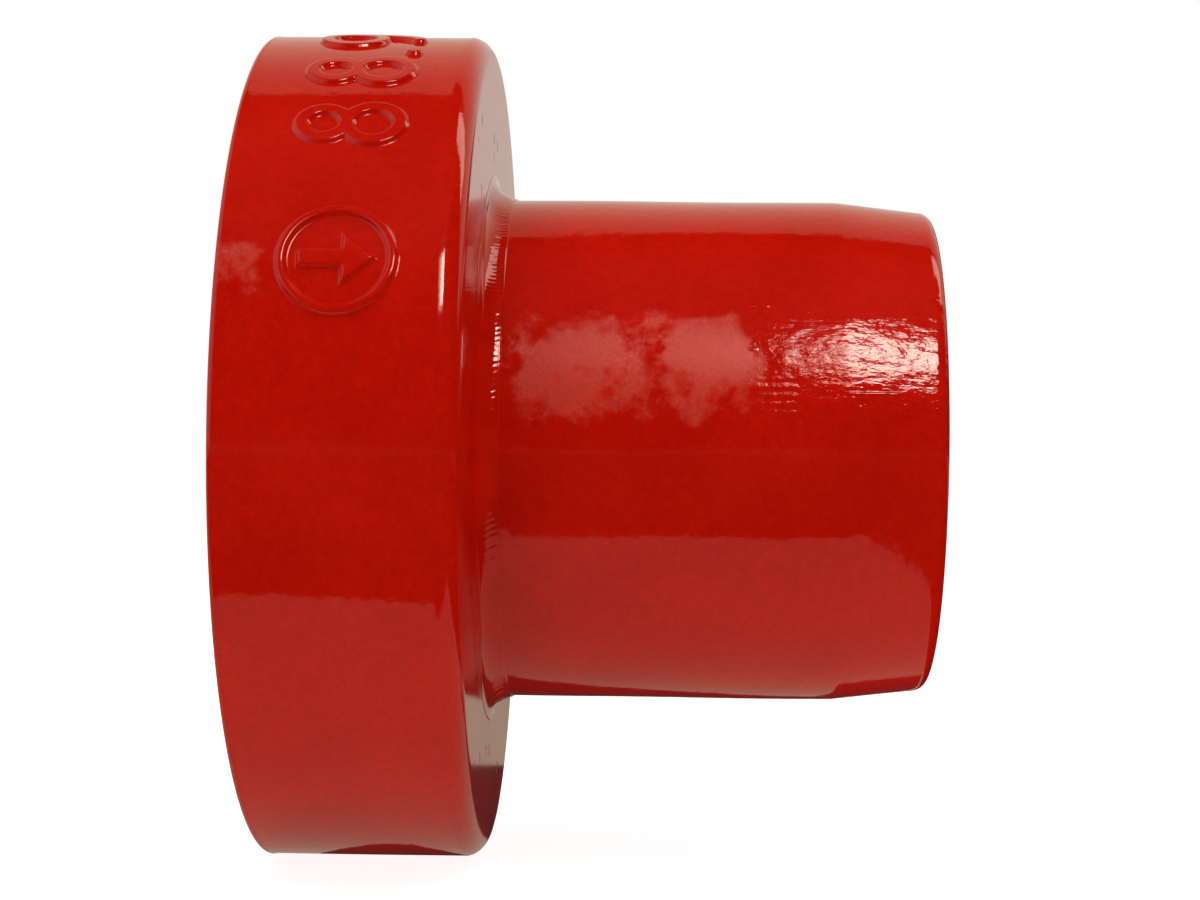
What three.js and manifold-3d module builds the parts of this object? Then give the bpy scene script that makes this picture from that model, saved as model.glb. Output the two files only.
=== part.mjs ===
// Push-in coupling for grooved pipe: a short collar that grips and seals a grooved pipe end,
// and a plain spigot tube welded to its back.
// Millimetres. X is the pipe axis, with x = 0 at the collar's mouth and +X towards the spigot's end.
// +Z is up.

import * as THREE from 'three';
import { mergeVertices } from 'three/addons/utils/BufferGeometryUtils.js';
import Module from 'manifold-3d';

const wasm = await Module();
wasm.setup();

// ---- driving dimensions ----

const FACETS = 48;              // steps round a full ring
const ARC_STEP = 18;            // degrees for each step of a rounded edge
const GAP = 0.3;                // gap between neighbouring solids
const CUT_SPARE = 1;            // how far a cutter reaches past what it cuts
const MERGE_DISTANCE = 1e-4;

const COLLAR_R = 72.8;
const COLLAR_W = 38.2;
const MOUTH_EDGE_R = 1.0;
const BACK_EDGE_R = 4.0;

const PIPE_R = 44.45;           // 3 in (DN 80) pipe, 88.9 mm outside
const TUBE_WALL = 6.0;
const PART_LENGTH = 115.4;
const TAPER_LENGTH = 16.7;
const TAPER_DROP = 1.9;
const TUBE_END_R = 2.2;
const WELD_LEG = 4.0;
const WELD_TOE = 0.8;           // thickness of the bead at its two thin edges

const PIPE_STOP_X = 34.0;       // the pipe's end meets the spigot's inner end here
const GROOVE_SEAT = 15.88;      // standard roll groove: pipe end to groove
const GROOVE_WIDTH = 7.95;
const KEY_AXIAL_PLAY = 0.3;

const KEY_COUNT = 8;
const KEY_SPAN = 35;            // degrees that each key covers
const KEY_TIP_R = 42.7;
const KEY_SHOULDER_R = 45.8;    // the tooth widens into the key's body here
const KEY_TIP_LEAD = 0.5;
const KEY_TIP_RAMP = 1.6;
const KEY_BACK_R = 49.5;        // outer radius at the key's mouth side
const CONE_ANGLE = 26;          // degrees from the pipe axis

const CAP_FACE_X = 1.2;         // the cone ring's flange is recessed in the mouth
const CAP_FLANGE_T = 4.0;
const CAP_FLANGE_R = 68.8;
const CONE_RING_R = 58.0;
const CONE_RING_END_X = 23.0;
const RELEASE_BORE_R = 48.3;
const RELEASE_POCKET_R = 50.6;
const RELEASE_STOP_X = 4.7;     // the step that keeps the release ring in

const RELEASE_FACE_X = 1.0;
const RELEASE_ID_R = 45.2;
const RELEASE_LEAD_IN = 1.0;
const RELEASE_STEP_T = 2.0;
const RELEASE_STEP_R = 50.1;

const PUSHER_T = 1.2;
const PUSHER_R = 52.8;
const PUSHER_ID_R = 45.4;
const FINGER_LENGTH = 6.5;
const FINGER_WIDTH = 3.0;
const FINGER_IN_R = 46.2;
const FINGER_OUT_R = 48.6;
const FINGER_ROOT = 0.4;        // how far a finger reaches into the ring

const SEAL_POCKET_R = 54.5;
const BACKUP_T = 1.0;
const GASKET_W = 6.8;
const GASKET_LIP_R = 43.8;
const GASKET_LIP_T = 2.0;
const GASKET_LIP_SLOPE = 0.5;
const GASKET_CAVITY_R = 49.0;

const SPRING_R = 49.3;
const SPRING_STRIP_W = 3.8;
const SPRING_STRIP_T = 0.8;
const SPRING_WAVES = 6;
const SPRING_STEPS = 72;

const SCREW_COUNT = 6;
const SCREW_PCD_R = 63.0;
const SCREW_R = 2.5;            // M5 countersunk, 16 mm long
const SCREW_HEAD_R = 4.6;
const SCREW_HEAD_T = 2.5;
const SCREW_LENGTH = 16;
const SCREW_TIP = 0.7;          // chamfer
const SCREW_HOLE_SPARE = 1.5;
const SCREW_SINK = 0.2;         // the head lies this far below the flange's face
const SCREW_SIDES = 24;
const HEX_R = 1.9;              // socket, across the corners
const HEX_DEPTH = 1.8;

// ---- derived dimensions ----

const CONE_SLOPE = Math.tan(THREE.MathUtils.degToRad(CONE_ANGLE));
const GROOVE_END_X = PIPE_STOP_X - GROOVE_SEAT;
const KEY_X0 = GROOVE_END_X - GROOVE_WIDTH + KEY_AXIAL_PLAY;
const KEY_X1 = GROOVE_END_X - KEY_AXIAL_PLAY;
const PUSHER_X0 = KEY_X1 + GAP;
const SEAL_END_X = PIPE_STOP_X - GAP;
const GASKET_X0 = SEAL_END_X - GAP - GASKET_W;
const BACKUP_X0 = GASKET_X0 - GAP - BACKUP_T;
const SPRING_X0 = PUSHER_X0 + PUSHER_T + GAP;
const SPRING_X1 = BACKUP_X0 - GAP;
const CAP_BACK_X = CAP_FACE_X + CAP_FLANGE_T;
const TUBE_ID_R = PIPE_R - TUBE_WALL;
const WELD_SEAT_R = PIPE_R + GAP + WELD_LEG + GAP;
const TAPER_ANGLE = THREE.MathUtils.radToDeg(Math.atan2(TAPER_DROP, TAPER_LENGTH));

// radius of the cone ring's cone at a given x: the keys' backs lie GAP inside it
const coneRadius = (x) => KEY_BACK_R + GAP + (x - KEY_X0) * CONE_SLOPE;

// ---- materials ----

const paint = new THREE.MeshStandardMaterial({ color: 0xb01205, roughness: 0.25, metalness: 0.1 });
const plated = new THREE.MeshStandardMaterial({ color: 0xb9b7ae, roughness: 0.4, metalness: 0.9 });
const castKey = new THREE.MeshStandardMaterial({ color: 0x4a4b4d, roughness: 0.5, metalness: 0.8 });
const spring = new THREE.MeshStandardMaterial({ color: 0xc4c6c8, roughness: 0.3, metalness: 1.0 });
const rubber = new THREE.MeshStandardMaterial({ color: 0x161616, roughness: 0.8, metalness: 0.0 });
const blackPlastic = new THREE.MeshStandardMaterial({ color: 0x222326, roughness: 0.6, metalness: 0.0 });

// ---- geometry helpers ----

// Turns an outline of [x, radius] points, closed on itself, about the pipe axis. The outline runs
// along +X on its outer side.
function ring(outline, sides = FACETS) {
  const points = outline.map(([x, r]) => new THREE.Vector2(r, x));
  points.push(points[0].clone());
  return new THREE.LatheGeometry(points, sides).rotateZ(-Math.PI / 2);
}

// Points of a circular arc in the x-radius plane, angles in degrees from +X.
function arc(x, r, radius, from, to) {
  const steps = Math.ceil(Math.abs(to - from) / ARC_STEP);
  return Array.from({ length: steps + 1 }, (_, i) => {
    const a = THREE.MathUtils.degToRad(from + ((to - from) * i) / steps);
    return [x + radius * Math.cos(a), r + radius * Math.sin(a)];
  });
}

// Turns a piece made at +Z round the pipe axis by an angle in degrees.
function place(geometry, angle) {
  return geometry.rotateX(THREE.MathUtils.degToRad(angle));
}

function toSolid(geometry) {
  const bare = geometry.clone();
  bare.deleteAttribute('normal');
  bare.deleteAttribute('uv');
  const merged = mergeVertices(bare, MERGE_DISTANCE);
  return new wasm.Manifold(new wasm.Mesh({
    numProp: 3,
    vertProperties: merged.attributes.position.array,
    triVerts: Uint32Array.from(merged.index.array),
  }));
}

function toGeometry(solid) {
  const mesh = solid.getMesh();
  const geometry = new THREE.BufferGeometry();
  geometry.setAttribute('position', new THREE.BufferAttribute(mesh.vertProperties, 3));
  geometry.setIndex(new THREE.BufferAttribute(mesh.triVerts, 1));
  geometry.computeVertexNormals();
  return geometry;
}

const part = new THREE.Group();

function add(name, geometry, material) {
  const mesh = new THREE.Mesh(geometry, material);
  mesh.name = name;
  part.add(mesh);
}

const everyAngle = (count) => Array.from({ length: count }, (_, i) => (i * 360) / count);

// ---- housing ----

// Bore along X for a cap screw.
function screwHole(angle, radius, x0, x1) {
  const hole = new THREE.CylinderGeometry(radius, radius, x1 - x0, SCREW_SIDES).rotateZ(-Math.PI / 2);
  hole.translate((x0 + x1) / 2, 0, SCREW_PCD_R);
  return toSolid(place(hole, angle));
}

// Cast cup. Its back face has a shallow seat that the weld bead stands in.
function collar() {
  const body = toSolid(ring([
    ...arc(MOUTH_EDGE_R, COLLAR_R - MOUTH_EDGE_R, MOUTH_EDGE_R, 180, 90),
    ...arc(COLLAR_W - BACK_EDGE_R, COLLAR_R - BACK_EDGE_R, BACK_EDGE_R, 90, 0),
    [COLLAR_W, WELD_SEAT_R],
    [COLLAR_W - GAP, WELD_SEAT_R],
    [COLLAR_W - GAP, PIPE_R + GAP],
    [SEAL_END_X, PIPE_R + GAP],
    [SEAL_END_X, SEAL_POCKET_R],
    [CONE_RING_END_X + GAP, SEAL_POCKET_R],
    [CONE_RING_END_X + GAP, CONE_RING_R + GAP],
    [CAP_BACK_X + GAP, CONE_RING_R + GAP],
    [CAP_BACK_X + GAP, CAP_FLANGE_R + GAP],
    [0, CAP_FLANGE_R + GAP],
  ]));
  const holeEnd = CAP_FACE_X + SCREW_LENGTH + SCREW_HOLE_SPARE;
  return toGeometry(everyAngle(SCREW_COUNT).reduce(
    (solid, angle) => solid.subtract(screwHole(angle, SCREW_R + GAP, CAP_BACK_X, holeEnd)), body));
}

function spigotTube() {
  const taperX = PART_LENGTH - TAPER_LENGTH;
  const endR = PIPE_R - TAPER_DROP;
  return ring([
    [PIPE_STOP_X, TUBE_ID_R],
    [PIPE_STOP_X, PIPE_R],
    [taperX, PIPE_R],
    ...arc(PART_LENGTH - TUBE_END_R, endR - TUBE_END_R, TUBE_END_R, 90 - TAPER_ANGLE, 0),
    [PART_LENGTH, TUBE_ID_R],
  ]);
}

// Concave fillet weld between the collar's back face and the tube.
function weldBead() {
  const r = PIPE_R + GAP;
  return ring([
    [COLLAR_W, r],
    [COLLAR_W, r + WELD_LEG],
    ...arc(COLLAR_W + WELD_LEG, r + WELD_LEG, WELD_LEG - WELD_TOE, 180, 270),
    [COLLAR_W + WELD_LEG, r],
  ]);
}

// Bolted ring in the mouth. Its inner cone squeezes the keys into the pipe's groove.
function coneRing() {
  const coneStart = KEY_X0 + (RELEASE_POCKET_R - KEY_BACK_R - GAP) / CONE_SLOPE;
  const body = toSolid(ring([
    [CAP_FACE_X, RELEASE_BORE_R],
    [CAP_FACE_X, CAP_FLANGE_R],
    [CAP_BACK_X, CAP_FLANGE_R],
    [CAP_BACK_X, CONE_RING_R],
    [CONE_RING_END_X, CONE_RING_R],
    [CONE_RING_END_X, coneRadius(CONE_RING_END_X)],
    [coneStart, RELEASE_POCKET_R],
    [RELEASE_STOP_X, RELEASE_POCKET_R],
    [RELEASE_STOP_X, RELEASE_BORE_R],
  ]));
  const sink = new THREE.CylinderGeometry(
    SCREW_R + GAP, SCREW_HEAD_R + GAP, SCREW_HEAD_T + GAP, SCREW_SIDES).rotateZ(-Math.PI / 2);
  sink.translate(CAP_FACE_X + (SCREW_HEAD_T + GAP) / 2, 0, SCREW_PCD_R);
  return toGeometry(everyAngle(SCREW_COUNT).reduce((solid, angle) => solid
    .subtract(screwHole(angle, SCREW_R + GAP, CAP_FACE_X - CUT_SPARE, CAP_BACK_X + CUT_SPARE))
    .subtract(toSolid(place(sink.clone(), angle))), body));
}

// Countersunk screw with a hexagon socket.
function capScrew(angle) {
  const faceX = CAP_FACE_X + SCREW_SINK;
  const endX = CAP_FACE_X + SCREW_LENGTH;
  const body = toSolid(new THREE.LatheGeometry([
    new THREE.Vector2(0, faceX),
    new THREE.Vector2(SCREW_HEAD_R, faceX),
    new THREE.Vector2(SCREW_R, CAP_FACE_X + SCREW_HEAD_T),
    new THREE.Vector2(SCREW_R, endX - SCREW_TIP),
    new THREE.Vector2(SCREW_R - SCREW_TIP, endX),
    new THREE.Vector2(0, endX),
  ], SCREW_SIDES).rotateZ(-Math.PI / 2));
  const socket = new THREE.CylinderGeometry(HEX_R, HEX_R, 2 * HEX_DEPTH, 6).rotateZ(-Math.PI / 2);
  socket.translate(faceX, 0, 0);
  const screw = toGeometry(body.subtract(toSolid(socket)));
  return place(screw.translate(0, 0, SCREW_PCD_R), angle);
}

// ---- seal and spring ----

// Seal with two lips that lean on the pipe.
function gasket() {
  const x1 = GASKET_X0 + GASKET_W;
  const outer = SEAL_POCKET_R - GAP;
  return ring([
    [GASKET_X0, GASKET_LIP_R],
    [GASKET_X0, outer],
    [x1, outer],
    [x1, GASKET_LIP_R],
    [x1 - GASKET_LIP_T, GASKET_LIP_R + GASKET_LIP_SLOPE],
    [x1 - GASKET_LIP_T, GASKET_CAVITY_R],
    [GASKET_X0 + GASKET_LIP_T, GASKET_CAVITY_R],
    [GASKET_X0 + GASKET_LIP_T, GASKET_LIP_R + GASKET_LIP_SLOPE],
  ]);
}

function backupRing() {
  const outer = SEAL_POCKET_R - GAP;
  return ring([
    [BACKUP_X0, RELEASE_ID_R],
    [BACKUP_X0, outer],
    [BACKUP_X0 + BACKUP_T, outer],
    [BACKUP_X0 + BACKUP_T, RELEASE_ID_R],
  ]);
}

// One flat strip bent into waves round the axis.
function waveSpring() {
  const middle = (SPRING_X0 + SPRING_X1) / 2;
  const swing = (SPRING_X1 - SPRING_X0 - SPRING_STRIP_T) / 2;
  const positions = [];
  const index = [];
  for (let i = 0; i < SPRING_STEPS; i += 1) {
    const a = (i * 2 * Math.PI) / SPRING_STEPS;
    const x = middle + swing * Math.cos(a * SPRING_WAVES);
    const corners = [[-1, -1], [-1, 1], [1, 1], [1, -1]];
    for (const [side, out] of corners) {
      const r = SPRING_R + (out * SPRING_STRIP_W) / 2;
      positions.push(x + (side * SPRING_STRIP_T) / 2, -r * Math.sin(a), r * Math.cos(a));
    }
    for (let k = 0; k < 4; k += 1) {
      const here = i * 4 + k;
      const beside = i * 4 + ((k + 1) % 4);
      const next = ((i + 1) % SPRING_STEPS) * 4 + k;
      const nextBeside = ((i + 1) % SPRING_STEPS) * 4 + ((k + 1) % 4);
      index.push(here, nextBeside, beside, here, next, nextBeside);
    }
  }
  const geometry = new THREE.BufferGeometry();
  geometry.setAttribute('position', new THREE.BufferAttribute(new Float32Array(positions), 3));
  geometry.setIndex(index);
  geometry.computeVertexNormals();
  return geometry;
}

// ---- moving pieces ----

// Thin ring behind the keys, with fingers that keep them evenly spaced.
function pusherRing() {
  const x1 = PUSHER_X0 + PUSHER_T;
  const body = toSolid(ring([
    [PUSHER_X0, PUSHER_ID_R],
    [PUSHER_X0, PUSHER_R],
    [x1, PUSHER_R],
    [x1, PUSHER_ID_R],
  ]));
  const fingerX0 = PUSHER_X0 - FINGER_LENGTH;
  const fingerX1 = PUSHER_X0 + FINGER_ROOT;
  const finger = new THREE.BoxGeometry(fingerX1 - fingerX0, FINGER_WIDTH, FINGER_OUT_R - FINGER_IN_R);
  finger.translate((fingerX0 + fingerX1) / 2, 0, (FINGER_IN_R + FINGER_OUT_R) / 2);
  return toGeometry(everyAngle(KEY_COUNT).reduce(
    (solid, angle) => solid.add(toSolid(place(finger.clone(), angle))), body));
}

// A sector of a ring: the tooth points inwards, and the back lies on the cone.
function lockKey(angle) {
  const outline = [
    [KEY_X0 + KEY_TIP_LEAD, KEY_TIP_R],
    [KEY_X0, KEY_SHOULDER_R],
    [KEY_X0, KEY_BACK_R],
    [KEY_X1, KEY_BACK_R + (KEY_X1 - KEY_X0) * CONE_SLOPE],
    [KEY_X1, KEY_SHOULDER_R],
    [KEY_X1 - KEY_TIP_RAMP, KEY_TIP_R],
  ];
  const whole = toSolid(ring(outline));
  const half = THREE.MathUtils.degToRad(KEY_SPAN / 2);
  const reach = COLLAR_R;
  const wedge = new THREE.Shape([
    new THREE.Vector2(0, 0),
    new THREE.Vector2(reach * Math.tan(half), reach),
    new THREE.Vector2(-reach * Math.tan(half), reach),
  ]);
  const cutter = new THREE.ExtrudeGeometry(wedge, { depth: COLLAR_W, bevelEnabled: false });
  cutter.rotateY(Math.PI / 2).rotateX(Math.PI / 2);
  return toGeometry(whole.intersect(toSolid(place(cutter, angle))));
}

// Pushed in, it lifts the keys off the pipe. Its step keeps it in the mouth.
function releaseRing() {
  const x1 = KEY_X0 - GAP;
  const stepX = RELEASE_STOP_X + GAP;
  const outer = RELEASE_BORE_R - GAP;
  return ring([
    [RELEASE_FACE_X, RELEASE_ID_R + RELEASE_LEAD_IN],
    [RELEASE_FACE_X, outer],
    [stepX, outer],
    [stepX, RELEASE_STEP_R],
    [stepX + RELEASE_STEP_T, RELEASE_STEP_R],
    [stepX + RELEASE_STEP_T, outer],
    [x1, outer],
    [x1, RELEASE_ID_R],
    [RELEASE_FACE_X + RELEASE_LEAD_IN, RELEASE_ID_R],
  ]);
}

// ---- assembly ----

add('collar', collar(), paint);
add('spigot_tube', spigotTube(), paint);
add('weld_bead', weldBead(), paint);
add('cone_ring', coneRing(), plated);
everyAngle(SCREW_COUNT).forEach((angle, i) => add(`cap_screw_${i + 1}`, capScrew(angle), plated));
add('gasket', gasket(), rubber);
add('backup_ring', backupRing(), blackPlastic);
add('wave_spring', waveSpring(), spring);
add('pusher_ring', pusherRing(), plated);
everyAngle(KEY_COUNT).forEach((angle, i) => {
  add(`lock_key_${i + 1}`, lockKey(angle + 180 / KEY_COUNT), castKey);
});
add('release_ring', releaseRing(), blackPlastic);

export default part;
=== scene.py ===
"""Looks of the push-in grooved coupling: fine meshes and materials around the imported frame.

Metres. The pipe axis is X, with x = 0 at the collar's mouth; +Z is up, and the camera looks along +Y.
Outlines are lists of (x, radius) points in millimetres, turned about the pipe axis. Angles round the
axis are measured from the side that faces the camera (-Y), upwards.
"""

import math

import bmesh
import bpy
import numpy as np
from mathutils import Matrix, Vector


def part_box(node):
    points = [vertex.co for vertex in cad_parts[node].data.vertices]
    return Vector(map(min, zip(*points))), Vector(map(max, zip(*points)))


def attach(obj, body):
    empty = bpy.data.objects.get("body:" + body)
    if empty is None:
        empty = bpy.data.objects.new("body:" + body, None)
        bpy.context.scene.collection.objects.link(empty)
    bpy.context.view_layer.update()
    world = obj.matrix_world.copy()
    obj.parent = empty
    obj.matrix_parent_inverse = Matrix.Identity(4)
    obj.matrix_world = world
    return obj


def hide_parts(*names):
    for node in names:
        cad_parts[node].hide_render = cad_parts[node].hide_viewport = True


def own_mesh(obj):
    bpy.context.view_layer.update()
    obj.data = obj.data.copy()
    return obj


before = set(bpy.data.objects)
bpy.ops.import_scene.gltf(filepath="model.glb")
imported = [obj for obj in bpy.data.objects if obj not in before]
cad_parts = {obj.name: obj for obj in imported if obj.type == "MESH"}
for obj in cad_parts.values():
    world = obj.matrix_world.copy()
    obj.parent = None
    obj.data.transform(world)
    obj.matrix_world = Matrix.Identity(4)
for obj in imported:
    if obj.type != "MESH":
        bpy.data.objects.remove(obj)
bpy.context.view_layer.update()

MM = 0.001
TURN = 2 * math.pi
rng = np.random.default_rng(7)


# ---- sizes read from the frame, in millimetres ----


def span(node):
    """(first x, last x, outer radius) of a ring-shaped CAD node."""
    low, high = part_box(node)
    return low.x / MM, high.x / MM, high.z / MM


COLLAR_X0, COLLAR_X1, COLLAR_R = span("collar")
TUBE_X0, TUBE_X1, TUBE_R = span("spigot_tube")
_, BEAD_X1, BEAD_R = span("weld_bead")
CONE_X0, CONE_X1, CONE_FLANGE_R = span("cone_ring")
GASKET_X0, GASKET_X1, GASKET_R = span("gasket")
BACKUP_X0, BACKUP_X1, BACKUP_R = span("backup_ring")
SPRING_X0, SPRING_X1, SPRING_R = span("wave_spring")
PUSHER_X0, PUSHER_X1, PUSHER_R = span("pusher_ring")
RELEASE_X0, RELEASE_X1, RELEASE_R = span("release_ring")
SCREW_LOW, SCREW_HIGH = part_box("cap_screw_1")
KEY_LOW, KEY_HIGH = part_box("lock_key_1")

# Sizes that the frame's boxes don't give, as in the CAD source.
GAP = 0.3
TUBE_WALL = 6.0
TAPER_LENGTH = 16.7
TAPER_DROP = 1.9
BACK_EDGE_R = 4.0
MOUTH_EDGE_R = 1.0
CONE_BODY_R = 58.0
CONE_FLANGE_T = 4.0
CONE_ANGLE = math.radians(26)
SEAL_POCKET_R = GASKET_R + GAP
KEY_COUNT = 8
KEY_SPAN = math.radians(35)
SCREW_COUNT = 6


# ---- outlines ----


def rounded(corners, steps=6):
    """A closed outline whose corners (x, radius, fillet) become arcs, with a point beside each arc."""
    points = []
    for i, (x, r, fillet) in enumerate(corners):
        here = Vector((x, r))
        if fillet <= 0:
            points.append((x, r))
            continue
        back = Vector(corners[i - 1][:2]) - here
        ahead = Vector(corners[(i + 1) % len(corners)][:2]) - here
        reach = min(back.length, ahead.length)
        back.normalize()
        ahead.normalize()
        half = back.angle(ahead) / 2
        along = fillet / math.tan(half)
        support = min(0.3 * fillet + 0.05, 0.2 * max(reach - along, 0.01))
        centre = here + (back + ahead).normalized() * (fillet / math.sin(half))
        start = here + back * along - centre
        end = here + ahead * along - centre
        turn = start.angle_signed(end)
        points.append(tuple(here + back * (along + support)))
        for k in range(steps + 1):
            swung = Matrix.Rotation(-turn * k / steps, 2) @ start
            points.append(tuple(centre + swung))
        points.append(tuple(here + ahead * (along + support)))
    return points


def densify(points, step, where=lambda x, r: True):
    """The closed outline with extra points, at most step apart, on the stretches that where accepts."""
    out = []
    for i, p in enumerate(points):
        q = points[(i + 1) % len(points)]
        out.append(p)
        length = math.dist(p, q)
        if length > step and where((p[0] + q[0]) / 2, (p[1] + q[1]) / 2):
            n = math.ceil(length / step)
            out += [tuple(p[k] + (q[k] - p[k]) * j / n for k in (0, 1)) for j in range(1, n)]
    return out


# ---- mesh building ----


def grid_faces(rows, cols, wrap_cols=True):
    """Quads of a rows by cols grid of vertices, whose last row joins the first."""
    i = np.arange(rows)
    j = np.arange(cols if wrap_cols else cols - 1)
    i, j = np.meshgrid(i, j, indexing="ij")
    i2, j2 = (i + 1) % rows, (j + 1) % cols
    quads = np.stack([i * cols + j, i * cols + j2, i2 * cols + j2, i2 * cols + j], axis=-1)
    return quads.reshape(-1, 4).tolist()


def make_object(name, vertices, faces, material):
    """A smooth-shaded object from millimetre vertices, with its faces turned outwards."""
    mesh = bpy.data.meshes.new(name)
    mesh.from_pydata((np.asarray(vertices) * MM).tolist(), [], faces)
    fix = bmesh.new()
    fix.from_mesh(mesh)
    bmesh.ops.recalc_face_normals(fix, faces=fix.faces)
    fix.to_mesh(mesh)
    fix.free()
    mesh.shade_smooth()
    mesh.materials.append(material)
    obj = bpy.data.objects.new(name, mesh)
    bpy.context.scene.collection.objects.link(obj)
    return obj


def turned_points(outline, angles, swell=None, shift=None):
    """Grid of points of an outline turned about X. swell and shift add to the radius and to x."""
    line = np.array(outline)
    x = np.repeat(line[:, :1], len(angles), axis=1)
    r = np.repeat(line[:, 1:], len(angles), axis=1)
    a = np.repeat(np.asarray(angles)[None, :], len(line), axis=0)
    if swell is not None:
        r = r + swell(x, r, a)
    if shift is not None:
        x = x + shift(x, r, a)
    return np.stack([x, -r * np.cos(a), r * np.sin(a)], axis=-1)


def turned(name, outline, material, columns, swell=None, shift=None):
    """A closed outline turned all the way round the pipe axis. columns is their number or angles."""
    angles = np.arange(columns) * TURN / columns if isinstance(columns, int) else columns
    points = turned_points(outline, angles, swell, shift)
    faces = grid_faces(len(outline), len(angles))
    return make_object(name, points.reshape(-1, 3), faces, material)


def apply_modifiers(obj):
    """Replaces the mesh by what its modifiers give."""
    graph = bpy.context.evaluated_depsgraph_get()
    mesh = bpy.data.meshes.new_from_object(obj.evaluated_get(graph))
    obj.modifiers.clear()
    obj.data = mesh


def boolean(obj, tools, operation):
    """Cuts or joins obj with the tool objects, which are removed afterwards."""
    for tool in tools:
        modifier = obj.modifiers.new("boolean", "BOOLEAN")
        modifier.operation = operation
        modifier.solver = "EXACT"
        modifier.object = tool
    bpy.context.view_layer.update()
    apply_modifiers(obj)
    for tool in tools:
        bpy.data.objects.remove(tool)


def around(count, first=0.0):
    """Angles of evenly spaced pieces, starting from the top, as the CAD numbers them."""
    return [math.pi / 2 + first + i * TURN / count for i in range(count)]


# ---- raised marks on the collar's rim ----

MARK_HEIGHT = 0.7
MARK_EDGE = 0.55                # width of the soft slope under the paint
DIGIT_W = 11.2
DIGIT_H = 18.6
DIGIT_STROKE = 1.45             # half the stroke's width
MARK_X = 18.8                   # middle of the marks along the axis
DIGIT_ANGLES = {"8a": 44.5, "8b": 57.5, "9": 71.5}
DOT_ANGLE = 64.6
ARROW_ANGLE = 23.0
ARROW = [(-6.2, -1.7), (0.6, -1.7), (0.6, -4.9), (6.2, 0.0), (0.6, 4.9), (0.6, 1.7), (-6.2, 1.7)]
RING_RADIUS = 8.6
RING_HALF_STROKE = 0.95


def ellipse(u, v, ru, rv, start=0.0, end=360.0, steps=40):
    t = np.radians(np.linspace(start, end, steps + 1))
    return np.stack([u + ru * np.cos(t), v + rv * np.sin(t)], axis=-1)


def digit_lines(digit):
    """Centre lines of a plain numeral, about its middle, u along the reading direction and v up."""
    w, h = DIGIT_W / 2 - DIGIT_STROKE, DIGIT_H / 2 - DIGIT_STROKE
    if digit.startswith("8"):
        return [ellipse(0, 0.54 * h, 0.86 * w, 0.46 * h), ellipse(0, -0.46 * h, w, 0.54 * h)]
    tail = ellipse(-0.12 * w, 0.34 * h, 1.12 * w, 1.34 * h, start=0, end=-82)
    return [ellipse(0, 0.40 * h, w, 0.60 * h), tail]


def line_distance(u, v, line):
    """Distance from each (u, v) to a chain of points."""
    best = np.full(u.shape, 1e9)
    for (au, av), (bu, bv) in zip(line[:-1], line[1:]):
        du, dv = bu - au, bv - av
        t = np.clip(((u - au) * du + (v - av) * dv) / (du * du + dv * dv + 1e-12), 0, 1)
        best = np.minimum(best, np.hypot(u - au - t * du, v - av - t * dv))
    return best


def inside_polygon(u, v, corners):
    inside = np.zeros(u.shape, bool)
    for (au, av), (bu, bv) in zip(corners, corners[1:] + corners[:1]):
        crosses = (av > v) != (bv > v)
        at = au + (v - av) * (bu - au) / (bv - av if bv != av else 1e-12)
        inside ^= crosses & (u < at)
    return inside


def smooth_step(t):
    t = np.clip(t, 0, 1)
    return t * t * (3 - 2 * t)


def on_rim(r):
    """Whether a radius belongs to the collar's outside."""
    return r > COLLAR_R - 0.01


def mark_height(x, r, a):
    """Height of the raised marks at points of the collar's outside."""
    height = np.zeros(x.shape)

    def raise_by(distance):
        np.maximum(height, MARK_HEIGHT * smooth_step(-distance / MARK_EDGE), out=height)

    for digit, degrees in DIGIT_ANGLES.items():
        u = (a - math.radians(degrees)) * COLLAR_R
        v = MARK_X - x
        for line in digit_lines(digit):
            raise_by(line_distance(u, v, line) - DIGIT_STROKE)
    dot_u = (a - math.radians(DOT_ANGLE)) * COLLAR_R
    raise_by(np.hypot(dot_u, x - MARK_X - DIGIT_H / 2 + 1.6) - 1.6)
    u = x - MARK_X
    v = (a - math.radians(ARROW_ANGLE)) * COLLAR_R
    edge = line_distance(u, v, ARROW + ARROW[:1])
    raise_by(np.where(inside_polygon(u, v, ARROW), -edge, edge))
    raise_by(np.abs(np.hypot(u, v) - RING_RADIUS) - RING_HALF_STROKE)
    return height * on_rim(r)


# ---- material nodes ----


def add_node(tree, kind, settings=None, inputs=None):
    """A shader node, with its settings and its inputs, which are values or other nodes' outputs."""
    node = tree.nodes.new(kind)
    for key, value in (settings or {}).items():
        setattr(node, key, value)
    for key, value in (inputs or {}).items():
        if isinstance(value, bpy.types.NodeSocket):
            tree.links.new(value, node.inputs[key])
        else:
            node.inputs[key].default_value = value
    return node


def calc(tree, operation, a, b=0.0):
    return add_node(tree, "ShaderNodeMath", {"operation": operation}, {0: a, 1: b}).outputs[0]


def noise(tree, where, scale, detail=3.0, roughness=0.55):
    inputs = {"Vector": where, "Scale": scale, "Detail": detail, "Roughness": roughness}
    return add_node(tree, "ShaderNodeTexNoise", None, inputs).outputs["Fac"]


def ramp(tree, value, low, high, to_low=0.0, to_high=1.0):
    """A soft step of value from low to high."""
    inputs = {"Value": value, "From Min": low, "From Max": high, "To Min": to_low, "To Max": to_high}
    return add_node(tree, "ShaderNodeMapRange", {"interpolation_type": "SMOOTHSTEP"}, inputs).outputs[0]


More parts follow.
